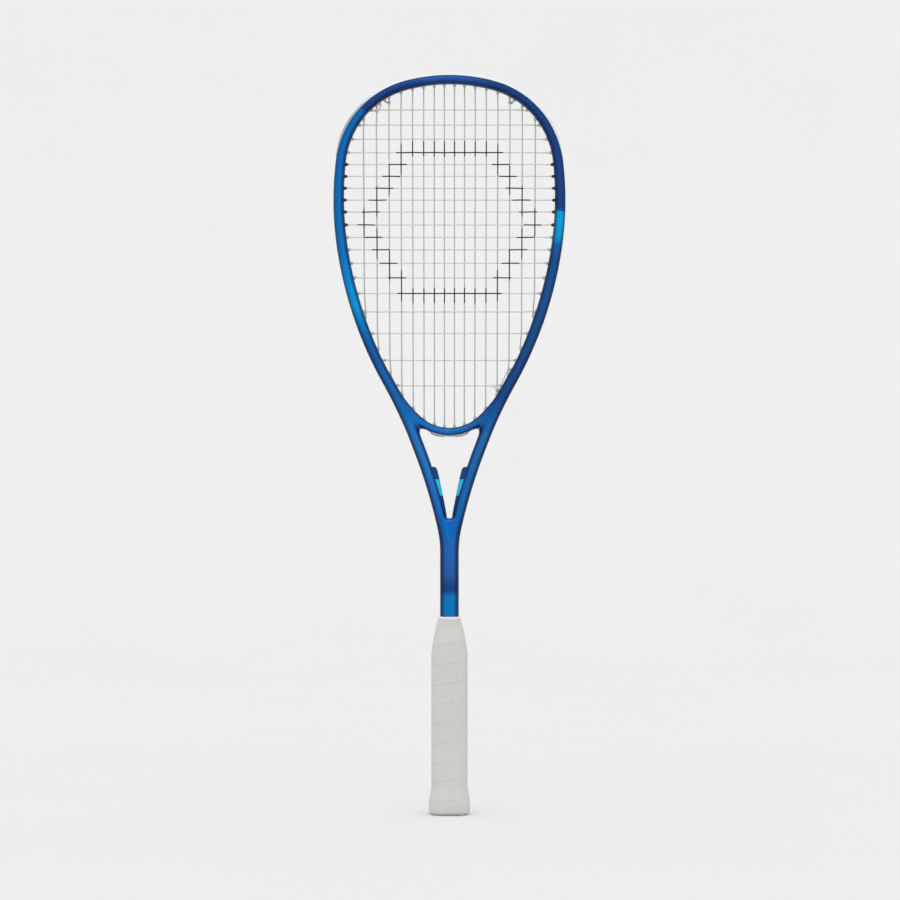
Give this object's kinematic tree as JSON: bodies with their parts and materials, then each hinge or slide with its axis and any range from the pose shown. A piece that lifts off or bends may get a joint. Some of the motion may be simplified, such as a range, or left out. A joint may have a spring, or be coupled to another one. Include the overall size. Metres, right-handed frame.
{
  "type": "squash racket",
  "caption": "Squash racket with a teardrop head, an open throat with a bridge and inner fins, woven strings, a white head guard and a wrapped handle.",
  "frame": {"origin": "centre of the butt cap's end face", "axes": "+Z along the racket from butt to head, strings in the XZ plane, front face towards -Y, +X to the right seen from the front"},
  "size_m": [0.215, 0.0338, 0.686],
  "materials": {
    "frame_paint": "gloss lacquer over carbon fibre, royal blue that fades to azure, cyan and navy patches",
    "bridge_paint": "gloss lacquer over carbon fibre, royal blue",
    "insert_paint": "gloss lacquer, blue with a bright cyan patch on the inner face",
    "guard_white": "satin white nylon",
    "grommet_dark": "satin near-black nylon",
    "grommet_clear": "milky translucent nylon",
    "string_main": "smooth light grey coated multifilament",
    "string_cross": "smooth cream coated multifilament",
    "handle_foam": "moulded rigid foam",
    "plug_foam": "soft foam",
    "cap_plastic": "satin off-white plastic",
    "staple_steel": "bright steel wire",
    "grip_wrap": "off-white cushioned synthetic leather with a fine grain",
    "grip_tape": "white vinyl tape"
  },
  "bodies": {
    "root": {"frame_tube": "frame_paint", "throat_bridge": "bridge_paint", "throat_insert_left": "insert_paint", "throat_insert_right": "insert_paint", "bumper_guard": "guard_white", "side_grommets_left": "grommet_dark", "side_grommets_right": "grommet_dark", "lower_grommets_left": "grommet_clear", "lower_grommets_right": "grommet_clear", "throat_grommets": "grommet_clear", "main_string": "string_main", "cross_string": "string_cross", "main_knot_left": "string_main", "main_knot_right": "string_main", "cross_knot_top": "string_cross", "cross_knot_bottom": "string_cross", "handle_pallet_front": "handle_foam", "handle_pallet_back": "handle_foam", "tube_end_plugs": "plug_foam", "butt_cap": "cap_plastic", "butt_cap_staples": "staple_steel", "grip_wrap": "grip_wrap", "grip_staple": "staple_steel", "grip_finishing_tape": "grip_tape"}
  },
  "joints": []
}
